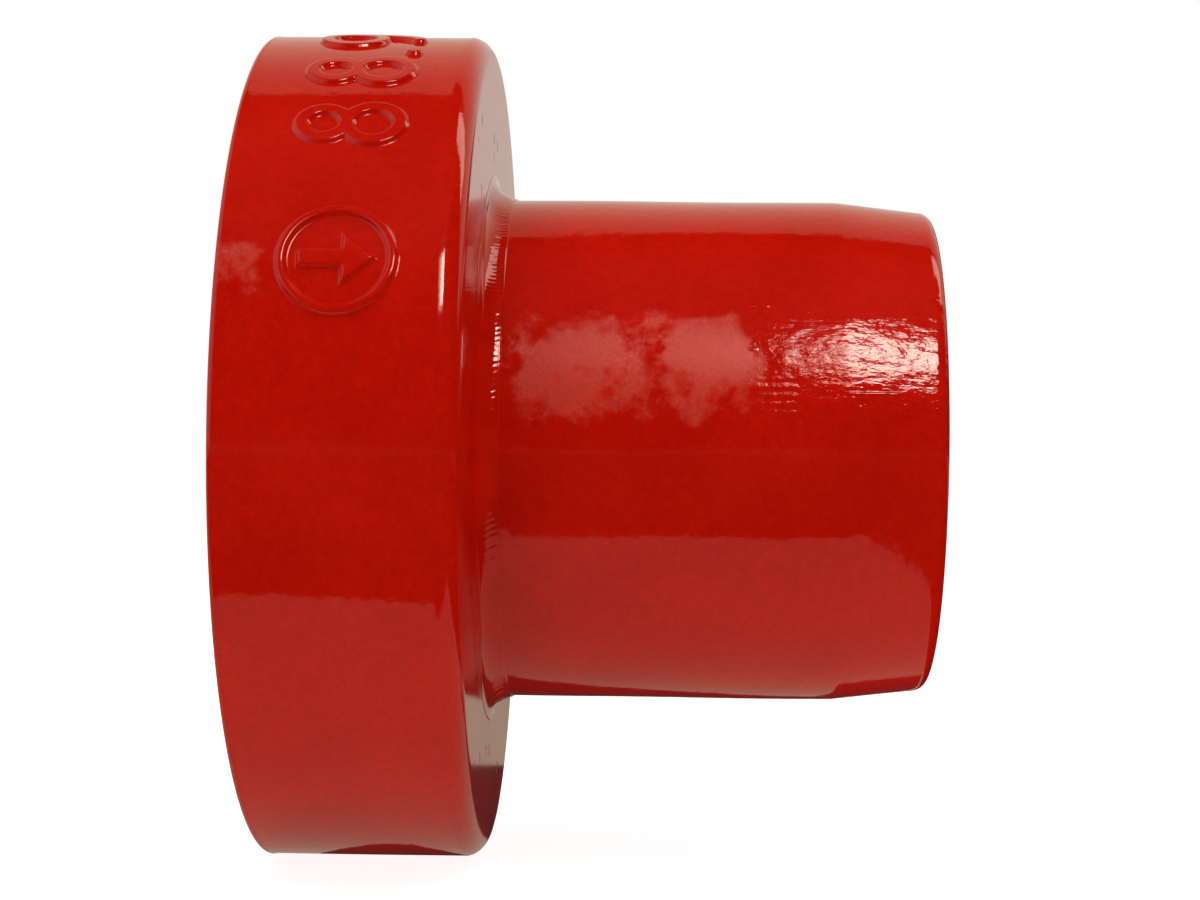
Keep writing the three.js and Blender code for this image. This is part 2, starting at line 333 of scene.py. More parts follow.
def blend_colour(tree, factor, a, b):
    node = add_node(tree, "ShaderNodeMix", {"data_type": "RGBA"}, {0: factor})
    for socket, value in ((node.inputs[6], a), (node.inputs[7], b)):
        if isinstance(value, bpy.types.NodeSocket):
            tree.links.new(value, socket)
        else:
            socket.default_value = (*value, 1.0)
    return node.outputs[2]


def window(tree, value, low, high, soft):
    """1 between low and high, fading to 0 over soft on each side."""
    rise = ramp(tree, value, low - soft, low + soft)
    fall = ramp(tree, value, high - soft, high + soft, 1.0, 0.0)
    return calc(tree, "MULTIPLY", rise, fall)


def stretched(tree, where, scale):
    return add_node(tree, "ShaderNodeMapping", None, {"Vector": where, "Scale": scale}).outputs[0]


def split(tree, vector):
    """The X, Y and Z outputs of a vector."""
    return add_node(tree, "ShaderNodeSeparateXYZ", None, {0: vector}).outputs


def new_material(name):
    """(material, node tree, principled shader, object coordinates, their X, Y and Z outputs)"""
    material = bpy.data.materials.new(name)
    material.use_nodes = True
    tree = material.node_tree
    shader = next(n for n in tree.nodes if n.type == "BSDF_PRINCIPLED")
    where = tree.nodes.new("ShaderNodeTexCoord").outputs["Object"]
    return material, tree, shader, where, split(tree, where)


def set_bump(tree, shader, height, distance):
    inputs = {"Height": height, "Distance": distance, "Strength": 1.0}
    bump = add_node(tree, "ShaderNodeBump", None, inputs)
    tree.links.new(bump.outputs[0], shader.inputs["Normal"])


def total(tree, *terms):
    """Sum of (value, weight) terms."""
    out = None
    for value, weight in terms:
        part = calc(tree, "MULTIPLY", value, weight)
        out = part if out is None else calc(tree, "ADD", out, part)
    return out


# ---- materials ----

DEEP_RED = (0.46, 0.0042, 0.0004)
BRIGHT_RED = (0.57, 0.0070, 0.0005)
# Colour of the haze: chalky overspray, and partly a painted sheen of the front window's reflection.
CHALKY_SHEEN_RED = (0.66, 0.075, 0.038)
# Painted shade inside the small pits of the collar's back face.
PIT_SHADE_COLOUR = (0.10, 0.012, 0.009)

# Zones on the side that faces the camera, as (first x, last x, lowest z, highest z) in millimetres.
COLLAR_HAZE = (COLLAR_X0 - 4.0, COLLAR_X0 + 7.5, 22.0, 31.0)
TUBE_HAZE = (COLLAR_X1 + 5.8, TUBE_X1 - 31.4, 4.0, 22.8)
TUBE_WET = (TUBE_X1 - 29.4, TUBE_X1 + 4.6, 5.0, 25.0)
SAGS = (TUBE_X1 - 31.2, TUBE_X1 - 24.9, 5.5, 11.5)
SAG_PITCH = 1.4
# Small ridges of paint, as (first x, last x, z) in millimetres.
RIDGES = [
    (TUBE_X1 - 33.2, TUBE_X1 - 29.4, 23.6),
    (TUBE_X1 - 16.9, TUBE_X1 - 8.4, 9.2),
    (TUBE_X1 - 32.6, TUBE_X1 - 31.6, 16.3),
]
RIDGE_WIDTH = 0.4
NEAR_SIDE_Y = -20.0             # the zones are only on surfaces nearer to the camera than this
HAZE_SPREAD = 0.34              # what the middle of a zone adds to its cloud noise
HAZE_COVER = (0.68, 0.84)       # noise values where the haze starts and where it is full
# share of the haze colour, partly a painted sheen, where the haze is full
HAZE_SHEEN_WHITENING = 0.36
HAZE_ROUGHNESS = 0.22
HAZE_GLOSS_LOSS = 0.18
ENAMEL_ROUGHNESS = 0.045
FACE_ROUGHNESS = 0.075          # added on the collar's back face
PIT_SCALE = 150.0               # pits are picked from cells of about 7 mm
PIT_SHARE = 0.20
PIT_DEPTH = 2.0                 # in units of PAINT_RELIEF
PAINT_RELIEF = 0.09             # depth in millimetres that the paint's height patterns stand for


def axis_radius(tree, axis):
    """Distance from the pipe axis."""
    squares = [calc(tree, "POWER", axis[letter], 2.0) for letter in "YZ"]
    return calc(tree, "SQRT", calc(tree, "ADD", *squares))


def zone(tree, where, axis, limits, wobble, soft):
    """1 inside a zone of the camera side, with an edge that wanders by wobble. Lengths are in mm."""
    x0, x1, z0, z1, wobble, soft = [length * MM for length in (*limits, wobble, soft)]
    shake = calc(tree, "MULTIPLY", calc(tree, "SUBTRACT", noise(tree, where, 130, 5, 0.6), 0.5), wobble)
    in_x = window(tree, calc(tree, "ADD", axis["X"], shake), x0, x1, soft)
    in_z = window(tree, calc(tree, "SUBTRACT", axis["Z"], shake), z0, z1, soft)
    facing = calc(tree, "LESS_THAN", axis["Y"], NEAR_SIDE_Y * MM)
    outside = calc(tree, "GREATER_THAN", axis_radius(tree, axis), (TUBE_R - TUBE_WALL / 2) * MM)
    painted = calc(tree, "MULTIPLY", facing, outside)
    return calc(tree, "MULTIPLY", calc(tree, "MULTIPLY", in_x, in_z), painted)


def haze(tree, where, axis, limits):
    """Dull overspray: cloudy patches with torn edges and a fine grain. The enamel also whitens its colour
    by this mask, partly as a painted sheen of the front window.
    """
    spread = zone(tree, where, axis, limits, 10.0, 4.2)
    cloud = noise(tree, where, 105, 9, 0.68)
    patches = ramp(tree, total(tree, (cloud, 1.0), (spread, HAZE_SPREAD)), *HAZE_COVER)
    grain = ramp(tree, noise(tree, where, 1700, 3, 0.6), 0.25, 0.65, 0.84, 1.0)
    near = ramp(tree, spread, 0.02, 0.2)
    return calc(tree, "MULTIPLY", calc(tree, "MULTIPLY", patches, grain), near)


def wet_relief(tree, where, axis):
    """Height of the wet ripples, sags and small ridges in the tube's paint."""
    ripples = noise(tree, stretched(tree, where, (0.42, 1.0, 1.15)), 720, 3, 0.62)
    swirl = noise(tree, stretched(tree, where, (0.8, 1.0, 1.0)), 260, 2, 0.5)
    wet = zone(tree, where, axis, TUBE_WET, 10.0, 3.0)
    out = calc(tree, "MULTIPLY", total(tree, (ripples, 1.5), (swirl, 2.0)), wet)
    turns = calc(tree, "MULTIPLY", axis["Z"], TURN / (SAG_PITCH * MM))
    sags = calc(tree, "MULTIPLY", calc(tree, "SINE", turns), zone(tree, where, axis, SAGS, 2.0, 0.8))
    out = calc(tree, "ADD", out, calc(tree, "MULTIPLY", sags, 0.35))
    for x0, x1, z in RIDGES:
        off = calc(tree, "ABSOLUTE", calc(tree, "SUBTRACT", axis["Z"], z * MM))
        crest = ramp(tree, off, 0.0, RIDGE_WIDTH * MM, 1.0, 0.0)
        along = window(tree, axis["X"], x0 * MM, x1 * MM, 0.5 * MM)
        ridge = calc(tree, "MULTIPLY", crest, along)
        out = calc(tree, "ADD", out, calc(tree, "MULTIPLY", ridge, 1.3))
    return out


def pit_mask(tree, axis, on_face):
    """A few small holes in the collar's flat back face."""
    flat = add_node(tree, "ShaderNodeCombineXYZ", None, {0: axis["Y"], 1: axis["Z"]}).outputs[0]
    inputs = {"Vector": flat, "Scale": PIT_SCALE}
    cells = add_node(tree, "ShaderNodeTexVoronoi", {"voronoi_dimensions": "2D"}, inputs)
    picked = add_node(tree, "ShaderNodeSeparateColor", None, {0: cells.outputs["Color"]}).outputs[0]
    rare = calc(tree, "GREATER_THAN", picked, 1.0 - PIT_SHARE)
    hole = calc(tree, "MULTIPLY", ramp(tree, cells.outputs["Distance"], 0.09, 0.18, 1.0, 0.0), rare)
    clear_of_rim = calc(tree, "LESS_THAN", axis_radius(tree, axis), (COLLAR_R - 2 * BACK_EDGE_R) * MM)
    return calc(tree, "MULTIPLY", hole, calc(tree, "MULTIPLY", on_face, clear_of_rim))


def enamel(name, haze_zone=None, wet=False, pits=False, texture=1.0):
    """Glossy red enamel with orange peel, and where asked haze (rough overspray whose whitening is partly
    a painted sheen), wet ripples and pits (darkened with painted shade).

    texture is the share of the fine mottle and relief. The piece with pits has none on its back face.
    """
    material, tree, shader, where, axis = new_material(name)
    if pits:
        on_face = calc(tree, "GREATER_THAN", axis["X"], (COLLAR_X1 - 0.4) * MM)
        texture = calc(tree, "SUBTRACT", 1.0, on_face)
    broad = noise(tree, where, 60, 4)
    mottle = noise(tree, where, 700, 3)
    grain = noise(tree, where, 2600, 2)
    fine = calc(tree, "MULTIPLY", total(tree, (mottle, 0.35), (grain, 0.35), (broad, -0.70)), texture)
    tone = calc(tree, "ADD", broad, fine)
    colour = blend_colour(tree, ramp(tree, tone, 0.36, 0.64), DEEP_RED, BRIGHT_RED)
    peel = noise(tree, where, 620, 2, 0.5)
    waves = noise(tree, where, 150, 2, 0.5)
    height = calc(tree, "MULTIPLY", total(tree, (peel, 0.26), (waves, 0.62), (grain, 0.02)), texture)
    rough = calc(tree, "ADD", calc(tree, "MULTIPLY", broad, 0.06), ENAMEL_ROUGHNESS)
    if pits:
        rough = calc(tree, "ADD", rough, calc(tree, "MULTIPLY", on_face, FACE_ROUGHNESS))
    if haze_zone:
        haze_and_sheen = haze(tree, where, axis, haze_zone)
        # The haze whitens the colour: chalky overspray, and partly a painted sheen of the front window.
        colour = blend_colour(tree, calc(tree, "MULTIPLY", haze_and_sheen, HAZE_SHEEN_WHITENING), colour, CHALKY_SHEEN_RED)
        rough = calc(tree, "ADD", rough, calc(tree, "MULTIPLY", haze_and_sheen, HAZE_ROUGHNESS))
        gloss = calc(tree, "SUBTRACT", 0.5, calc(tree, "MULTIPLY", haze_and_sheen, HAZE_GLOSS_LOSS))
        tree.links.new(gloss, shader.inputs["Specular IOR Level"])
    if wet:
        height = calc(tree, "ADD", height, wet_relief(tree, where, axis))
    if pits:
        hole = pit_mask(tree, axis, on_face)
        # The pits are real holes in the bump; their dark colour is painted shade.
        colour = blend_colour(tree, hole, colour, PIT_SHADE_COLOUR)
        height = calc(tree, "SUBTRACT", height, calc(tree, "MULTIPLY", hole, PIT_DEPTH))
    tree.links.new(colour, shader.inputs["Base Color"])
    tree.links.new(rough, shader.inputs["Roughness"])
    shader.inputs["IOR"].default_value = 1.5
    set_bump(tree, shader, height, PAINT_RELIEF * MM)
    return material


def uneven_roughness(tree, roughness, cloud, cloud_share, fine):
    """Roughness that a cloudy and a fine noise vary by a little."""
    rough = total(tree, (cloud, cloud_share), (fine, 0.10))
    noise_mean = 0.12
    return calc(tree, "ADD", rough, roughness - noise_mean)


def metal(name, colour, dark, roughness, lathe=0.0, grain=900.0, grain_height=0.00001):
    """Bare or plated metal, with lathe marks round the pipe axis where lathe is above 0."""
    material, tree, shader, where, axis = new_material(name)
    cloud = noise(tree, where, 130, 5, 0.6)
    fine = noise(tree, where, grain, 3)
    tone = blend_colour(tree, ramp(tree, cloud, 0.35, 0.7), colour, dark)
    tree.links.new(tone, shader.inputs["Base Color"])
    rough = uneven_roughness(tree, roughness, cloud, 0.16, fine)
    tree.links.new(rough, shader.inputs["Roughness"])
    across = calc(tree, "ADD", axis_radius(tree, axis), axis["X"])
    grooves = add_node(tree, "ShaderNodeTexNoise", {"noise_dimensions": "1D"},
                       {"W": across, "Scale": 5200.0, "Detail": 3.0})
    height = total(tree, (grooves.outputs["Fac"], lathe), (fine, 1.0))
    shader.inputs["Metallic"].default_value = 1.0
    set_bump(tree, shader, height, grain_height)
    return material


def polymer(name, colour, dusty, roughness, grain, grain_height):
    """Rubber or plastic with a fine grain and a little dust."""
    material, tree, shader, where, _ = new_material(name)
    cloud = noise(tree, where, 160, 4)
    fine = noise(tree, where, grain, 3)
    tone = blend_colour(tree, ramp(tree, cloud, 0.45, 0.8), colour, dusty)
    tree.links.new(tone, shader.inputs["Base Color"])
    rough = uneven_roughness(tree, roughness, cloud, 0.14, fine)
    tree.links.new(rough, shader.inputs["Roughness"])
    set_bump(tree, shader, fine, grain_height)
    return material


COLLAR_PAINT = enamel("enamel_collar", COLLAR_HAZE, pits=True)
TUBE_PAINT = enamel("enamel_tube", TUBE_HAZE, wet=True)
BEAD_PAINT = enamel("enamel_bead", texture=0.15)
PLATED = metal("zinc_plate", (0.64, 0.62, 0.56), (0.50, 0.48, 0.42), 0.34, lathe=1.5)
KEY_IRON = metal("key_iron", (0.115, 0.112, 0.11), (0.06, 0.06, 0.062), 0.5,
                 grain=1500, grain_height=0.00004)
SPRING_STEEL = metal("spring_steel", (0.70, 0.69, 0.67), (0.55, 0.54, 0.52), 0.26, lathe=0.8)
SEAL_RUBBER = polymer("seal_rubber", (0.013, 0.013, 0.014), (0.045, 0.044, 0.042), 0.6, 2400, 0.00002)
RING_PLASTIC = polymer("ring_plastic", (0.020, 0.020, 0.022), (0.038, 0.038, 0.040), 0.42, 3200, 0.00001)


# ---- pieces ----


def dress(obj, body, slot, *nodes):
    """Ties a piece to its CAD body and to the CAD nodes that it stands for, which it hides. slot is not
    used.
    """
    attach(obj, body)
    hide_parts(*nodes)
    return obj


MARK_ZONE = (math.radians(10), math.radians(84))
MARK_BAND = (8.0, 30.0)         # x between which the marks lie
MARK_STEP = 0.0028              # radians between columns under the marks
MARK_ROW = 0.25                 # millimetres between rows under them
PLAIN_STEP = 0.014
PLAIN_ROW = 3.0


def collar_angles():
    """Columns close together under the raised marks and wider elsewhere."""
    low, high = MARK_ZONE
    fine = np.arange(low, high, MARK_STEP)
    wide = np.arange(high, low + TURN, PLAIN_STEP)
    return np.concatenate([fine, wide])


def make_collar():
    """Cast collar: a deep counterbored cup with a flat back face and a rounded back rim."""
    back = TUBE_X0 - GAP
    hole_r = TUBE_R + 0.05
    corners = [
        (COLLAR_X0, COLLAR_R, MOUTH_EDGE_R),
        (COLLAR_X1, COLLAR_R, BACK_EDGE_R),
        (COLLAR_X1, hole_r, 0.0),
        (back, hole_r, 0.3),
        (back, SEAL_POCKET_R, 0.5),
        (CONE_X1 + GAP, SEAL_POCKET_R, 0.3),
        (CONE_X1 + GAP, CONE_BODY_R + GAP, 0.5),
        (CONE_X0 + CONE_FLANGE_T + GAP, CONE_BODY_R + GAP, 0.3),
        (CONE_X0 + CONE_FLANGE_T + GAP, CONE_FLANGE_R + GAP, 0.4),
        (COLLAR_X0, CONE_FLANGE_R + GAP, 0.5),
    ]
    low, high = MARK_BAND
    outline = densify(rounded(corners, 9), MARK_ROW, lambda x, r: on_rim(r) and low < x < high)
    outline = densify(outline, PLAIN_ROW)

    def swell(x, r, a):
        """The marks, and slightly uneven paint that stays inside the CAD's radius."""
        uneven = 0.05 * np.sin(2 * a + 0.6) + 0.03 * np.sin(5 * a + x / 9)
        return mark_height(x, r, a) + (uneven - 0.08) * on_rim(r)

    obj = turned("collar_casting", outline, COLLAR_PAINT, collar_angles(), swell)
    return dress(obj, "housing", "red_enamel", "collar")


def make_tube():
    """Spigot tube with its lead-in taper and rounded end."""
    bore = TUBE_R - TUBE_WALL
    taper_x = TUBE_X1 - TAPER_LENGTH
    corners = [
        (TUBE_X0, TUBE_R, 0.5),
        (taper_x, TUBE_R, 14.0),
        (TUBE_X1, TUBE_R - TAPER_DROP, 2.2),
        (TUBE_X1, bore, 0.8),
        (TUBE_X0, bore, 0.8),
    ]
    outline = densify(rounded(corners, 8), 1.2)

    def swell(x, r, a):
        """Slightly uneven paint that stays inside the CAD's radius."""
        outside = r > bore + 1.5
        uneven = 0.05 * np.sin(3 * a + x / 14) + 0.035 * np.sin(7 * a - x / 6 + 1.0)
        return (uneven - 0.09) * outside

    obj = turned("spigot_tube_fine", outline, TUBE_PAINT, 384, swell)
    return dress(obj, "housing", "red_enamel", "spigot_tube")


BEAD_PITCH = 0.95
BEAD_RIPPLE = 0.07
BEAD_COLUMNS = 7                # mesh columns for each ripple
BEAD_SLANT = 1.6                # pitches that a ripple leans over between the toes
BEAD_FACE_TOE = 0.03
BEAD_TUBE_TOE = 0.12
BEAD_ROOT = 0.3                 # how far the hidden root lies inside the collar's and the tube's surface


def make_bead():
    """Concave fillet weld with slanted stacked ripples, and a small step at each toe."""
    x0, x1 = COLLAR_X1 - BEAD_ROOT, BEAD_X1
    r0, r1 = TUBE_R - BEAD_ROOT, BEAD_R
    reach_x, reach_r = x1 - COLLAR_X1, r1 - TUBE_R
    sweep = np.linspace(0, math.pi / 2, 22)
    bow_x = reach_x - BEAD_FACE_TOE
    bow_r = reach_r - BEAD_TUBE_TOE
    surface = [(x1 - bow_x * math.cos(t), r1 - bow_r * math.sin(t)) for t in sweep]
    outline = [(x0, r0), (x0, r1), *surface, (x1 + BEAD_TUBE_TOE, r0 + 0.1), (x1, r0)]
    ripples = round(TURN * TUBE_R / BEAD_PITCH)
    jitter = rng.uniform(0.15, 1.0, ripples + 1)

    def swell(x, r, a):
        across = np.clip((x - COLLAR_X1) / reach_x, 0, 1)
        phase = (a / TURN * ripples - BEAD_SLANT * across + 0.6 * np.sin(11 * a)) % ripples
        wave = 1 - (2 * (phase % 1) - 1) ** 2
        fade = smooth_step((across - 0.25) / 0.25) * smooth_step((1 - across) / 0.2)
        strength = jitter[phase.astype(int)] * fade
        lumps = 0.10 * np.sin(9 * a + 2) + 0.07 * np.sin(23 * a)
        on_surface = (x > COLLAR_X1 + 0.05) & (r > TUBE_R + 0.05)
        return (BEAD_RIPPLE * wave * strength + lumps * np.sin(math.pi * across)) * on_surface

    obj = turned("weld_bead_fine", outline, BEAD_PAINT, ripples * BEAD_COLUMNS, swell)
    return dress(obj, "housing", "red_enamel", "weld_bead")


SCREW_R = 2.5
SCREW_HEAD_R = (SCREW_HIGH.z - SCREW_LOW.z) / MM / 2
SCREW_PCD_R = (SCREW_HIGH.z + SCREW_LOW.z) / MM / 2
SCREW_HEAD_X = SCREW_LOW.x / MM
SCREW_END_X = SCREW_HIGH.x / MM
SCREW_HEAD_T = 2.3
HEX_FLAT_R = 1.65               # centre to flat of the socket
HEX_DEPTH = 1.8
THREAD_PITCH = 0.8
THREAD_DEPTH = 0.28
SOCKET_R = 1.0                  # radius of the outline's points that swell moves out to the hexagon
AXIS_R = 0.001                  # radius of the points where an outline meets the axis


def hex_radius(a):
    """Distance from centre to a hexagon's edge."""
    return HEX_FLAT_R / np.cos((a % (TURN / 6)) - TURN / 12)


def move_to_ring(obj, angle, radius):
    """Moves a piece made on the pipe axis out to a radius, at an angle round the ring."""
    offset = Vector((0, -radius * math.cos(angle), radius * math.sin(angle))) * MM
    obj.data.transform(Matrix.Translation(offset))


def screw_cutter(angle):
    """The countersunk hole that a cap screw sits in."""
    clear = GAP / 2
    outline = [
        (CONE_X0 - 1, AXIS_R),
        (CONE_X0 - 1, SCREW_HEAD_R + clear),
        (SCREW_HEAD_X, SCREW_HEAD_R + clear),
        (SCREW_HEAD_X + SCREW_HEAD_T, SCREW_R + clear),
        (CONE_X0 + CONE_FLANGE_T + 1, SCREW_R + clear),
        (CONE_X0 + CONE_FLANGE_T + 1, AXIS_R),
    ]
    cutter = turned("cutter", outline, PLATED, 48)
    move_to_ring(cutter, angle, SCREW_PCD_R)
    return cutter


def make_screw(index, angle):
    """M5 countersunk screw with a hexagon socket and a thread."""
    neck = SCREW_HEAD_X + SCREW_HEAD_T
    steps = np.arange(neck + 0.5, SCREW_END_X - 0.7, THREAD_PITCH / 6)
    head = [
        (SCREW_HEAD_X + HEX_DEPTH + 0.5, AXIS_R),
        (SCREW_HEAD_X + HEX_DEPTH, SOCKET_R),
        (SCREW_HEAD_X + 0.15, SOCKET_R + 0.01),
        (SCREW_HEAD_X, SOCKET_R + 0.02),
        (SCREW_HEAD_X, SCREW_HEAD_R - 0.25),
        (SCREW_HEAD_X + 0.07, SCREW_HEAD_R - 0.07),
        (SCREW_HEAD_X + 0.25, SCREW_HEAD_R),
        (neck, SCREW_R + 0.05),
    ]
    shank = [(float(x), SCREW_R) for x in steps]
    outline = head + shank + [(SCREW_END_X, SCREW_R - 0.6), (SCREW_END_X, AXIS_R)]

    def swell(x, r, a):
        """The hexagon socket with its chamfered edge, and the thread."""
        in_socket = np.abs(r - SOCKET_R) < 0.1
        chamfer = 0.15 * (r > SOCKET_R + 0.015)
        socket = hex_radius(a) - SOCKET_R + chamfer
        thread = THREAD_DEPTH * (np.abs(((x / THREAD_PITCH + a / TURN) % 1) - 0.5) * 2 - 1)
        on_shank = (x > neck + 0.3) & (x < SCREW_END_X - 0.5) & (r > SCREW_R - 0.1)
        return np.where(in_socket, socket, 0.0) + np.where(on_shank, thread, 0.0)

    obj = turned(f"cap_screw_{index}_fine", outline, PLATED, 48, swell)
    obj.data.set_sharp_from_angle(angle=math.radians(35))
    move_to_ring(obj, angle, SCREW_PCD_R)
    return dress(obj, "housing", "plated_steel", f"cap_screw_{index}")


RELEASE_BORE_R = 48.3
RELEASE_POCKET_R = RELEASE_R + 0.5
RELEASE_STOP_X = 4.7
KEY_X0, KEY_X1 = KEY_LOW.x / MM, KEY_HIGH.x / MM
KEY_TIP_R = 42.7
KEY_SHOULDER_R = 45.8
KEY_BACK_R = 49.5


def cone_radius(x):
    return KEY_BACK_R + GAP + (x - KEY_X0) * math.tan(CONE_ANGLE)


def make_cone_ring():
    """Bolted ring in the mouth, with an inner cone for the keys and six countersunk holes."""
    cone_start = KEY_X0 + (RELEASE_POCKET_R - KEY_BACK_R - GAP) / math.tan(CONE_ANGLE)
    flange_back = CONE_X0 + CONE_FLANGE_T
    corners = [
        (CONE_X0, RELEASE_BORE_R, 0.8),
        (CONE_X0, CONE_FLANGE_R, 0.4),
        (flange_back, CONE_FLANGE_R, 0.3),
        (flange_back, CONE_BODY_R, 0.4),
        (CONE_X1, CONE_BODY_R, 0.4),
        (CONE_X1, cone_radius(CONE_X1), 0.3),
        (cone_start, RELEASE_POCKET_R, 0.4),
        (RELEASE_STOP_X, RELEASE_POCKET_R, 0.3),
        (RELEASE_STOP_X, RELEASE_BORE_R, 0.3),
    ]
    obj = turned("cone_ring_fine", densify(rounded(corners), 4.0), PLATED, 240)
    boolean(obj, [screw_cutter(a) for a in around(SCREW_COUNT)], "DIFFERENCE")
    obj.data.set_sharp_from_angle(angle=math.radians(30))
    return dress(obj, "housing", "plated_steel", "cone_ring")


LIP_R = 43.8
LIP_T = 2.0
LIP_CAVITY_R = 49.0


def make_gasket():
    """Double-lipped seal: two lips that lean on the pipe, with a pressure cavity between them."""
    corners = [
        (GASKET_X0, LIP_R, 0.45),
        (GASKET_X0, GASKET_R, 0.8),
        (GASKET_X1, GASKET_R, 0.8),
        (GASKET_X1, LIP_R, 0.45),
        (GASKET_X1 - LIP_T, LIP_R + 0.5, 0.45),
        (GASKET_X1 - LIP_T, LIP_CAVITY_R, 1.0),
        (GASKET_X0 + LIP_T, LIP_CAVITY_R, 1.0),
        (GASKET_X0 + LIP_T, LIP_R + 0.5, 0.45),
    ]
    obj = turned("gasket_fine", rounded(corners), SEAL_RUBBER, 240)
    return dress(obj, "housing", "seal_rubber", "gasket")


RING_BORE_R = 45.2


def make_backup_ring():
    corners = [
        (BACKUP_X0, RING_BORE_R, 0.2),
        (BACKUP_X0, BACKUP_R, 0.2),
        (BACKUP_X1, BACKUP_R, 0.2),
        (BACKUP_X1, RING_BORE_R, 0.2),
    ]
    obj = turned("backup_ring_fine", rounded(corners, 4), RING_PLASTIC, 200)
    return dress(obj, "housing", "ring_plastic", "backup_ring")


SPRING_STRIP_W = 3.8
SPRING_STRIP_T = 0.8
SPRING_WAVES = 6


def make_wave_spring():
    """Flat strip with rounded edges, waved round the ring. The real spring flattens as the keys are
    released; this one keeps its shape.
    """
    half = SPRING_STRIP_T / 2
    inner = SPRING_R - SPRING_STRIP_W
    corners = [(-half, inner, 0.25), (-half, SPRING_R, 0.25), (half, SPRING_R, 0.25), (half, inner, 0.25)]
    middle = (SPRING_X0 + SPRING_X1) / 2
    swing = (SPRING_X1 - SPRING_X0) / 2 - half

    def shift(x, r, a):
        return middle + swing * np.cos((a - math.pi / 2) * SPRING_WAVES)

    obj = turned("wave_spring_fine", rounded(corners, 4), SPRING_STEEL, 360, shift=shift)
    dress(obj, "housing", "spring_steel", "wave_spring")
    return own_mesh(obj)


PUSHER_BORE_R = 45.4
PUSHER_T = 1.2
FINGER_WIDTH = 3.0
FINGER_RADII = (46.2, 48.6)


def pusher_finger(angle, plate_x):
    """A bar with rounded edges that reaches from the ring between two keys."""
    tool = bmesh.new()
    bmesh.ops.create_cube(tool, size=1.0)
    inner, outer = FINGER_RADII
    root_x = plate_x + 0.4
    size = (root_x - PUSHER_X0, FINGER_WIDTH, outer - inner)
    bmesh.ops.scale(tool, vec=Vector(size) * MM, verts=tool.verts)
    bmesh.ops.bevel(tool, geom=tool.edges[:], offset=0.3 * MM, segments=3, affect="EDGES")
    middle = Vector(((PUSHER_X0 + root_x) / 2, 0, (inner + outer) / 2)) * MM
    bmesh.ops.translate(tool, vec=middle, verts=tool.verts)
    turn = Matrix.Rotation(math.pi / 2 - angle, 3, "X")
    bmesh.ops.rotate(tool, cent=(0, 0, 0), matrix=turn, verts=tool.verts)
    mesh = bpy.data.meshes.new("finger")
    tool.to_mesh(mesh)
    tool.free()
    obj = bpy.data.objects.new("finger", mesh)
    bpy.context.scene.collection.objects.link(obj)
    return obj


def make_pusher():
    """Thin pressed ring behind the keys, with fingers that space them."""
    plate_x = PUSHER_X1 - PUSHER_T
    corners = [
        (plate_x, PUSHER_BORE_R, 0.25),
        (plate_x, PUSHER_R, 0.25),
        (PUSHER_X1, PUSHER_R, 0.25),
        (PUSHER_X1, PUSHER_BORE_R, 0.25),
    ]
    obj = turned("pusher_ring_fine", rounded(corners, 4), PLATED, 200)
    boolean(obj, [pusher_finger(a, plate_x) for a in around(KEY_COUNT)], "UNION")
    obj.data.set_sharp_from_angle(angle=math.radians(30))
    return dress(obj, "pusher_ring", "plated_steel", "pusher_ring")


KEY_END_ROUND = 0.35            # depth of the rounded ends
KEY_END_INSET = 0.93            # size of the flat end against the whole outline


def make_key(index, angle):
    """Locking segment: a tooth for the pipe's groove and a back that slides on the cone."""
    slope = math.tan(CONE_ANGLE)
    corners = [
        (KEY_X0 + 0.5, KEY_TIP_R, 0.4),
        (KEY_X0, KEY_SHOULDER_R, 0.5),
        (KEY_X0, KEY_BACK_R, 0.5),
        (KEY_X1, KEY_BACK_R + (KEY_X1 - KEY_X0) * slope, 0.5),
        (KEY_X1, KEY_SHOULDER_R, 0.5),
        (KEY_X1 - 1.6, KEY_TIP_R, 0.4),
    ]
    outline = rounded(corners, 5)
    ends = KEY_END_ROUND / KEY_BACK_R
    half = KEY_SPAN / 2
    angles = np.linspace(angle - half + ends, angle + half - ends, 40)
    points = turned_points(outline, angles)
    faces = grid_faces(len(outline), len(angles), wrap_cols=False)
    rows = len(outline)
    caps = []
    for column, outer_angle in ((0, angle - half), (len(angles) - 1, angle + half)):
        edge = points[:, column]
        middle = edge.mean(axis=0)
        inset = middle + (edge - middle) * KEY_END_INSET
        inset_line = turned_points([(p[0], math.hypot(p[1], p[2])) for p in inset], [outer_angle])[:, 0]
        caps.append((column, inset_line))
    vertices = points.reshape(-1, 3)
    for column, line in caps:
        start = len(vertices)
        vertices = np.concatenate([vertices, line])
        for i in range(rows):
            j = (i + 1) % rows
            faces.append([i * len(angles) + column, j * len(angles) + column, start + j, start + i])
        faces.append(list(range(start, start + rows)))
    obj = make_object(f"lock_key_{index}_fine", vertices, faces, KEY_IRON)
    obj.data.set_sharp_from_angle(angle=math.radians(40))
    return dress(obj, f"lock_key_{index}", "key_iron", f"lock_key_{index}")


RELEASE_STEP_T = 2.0


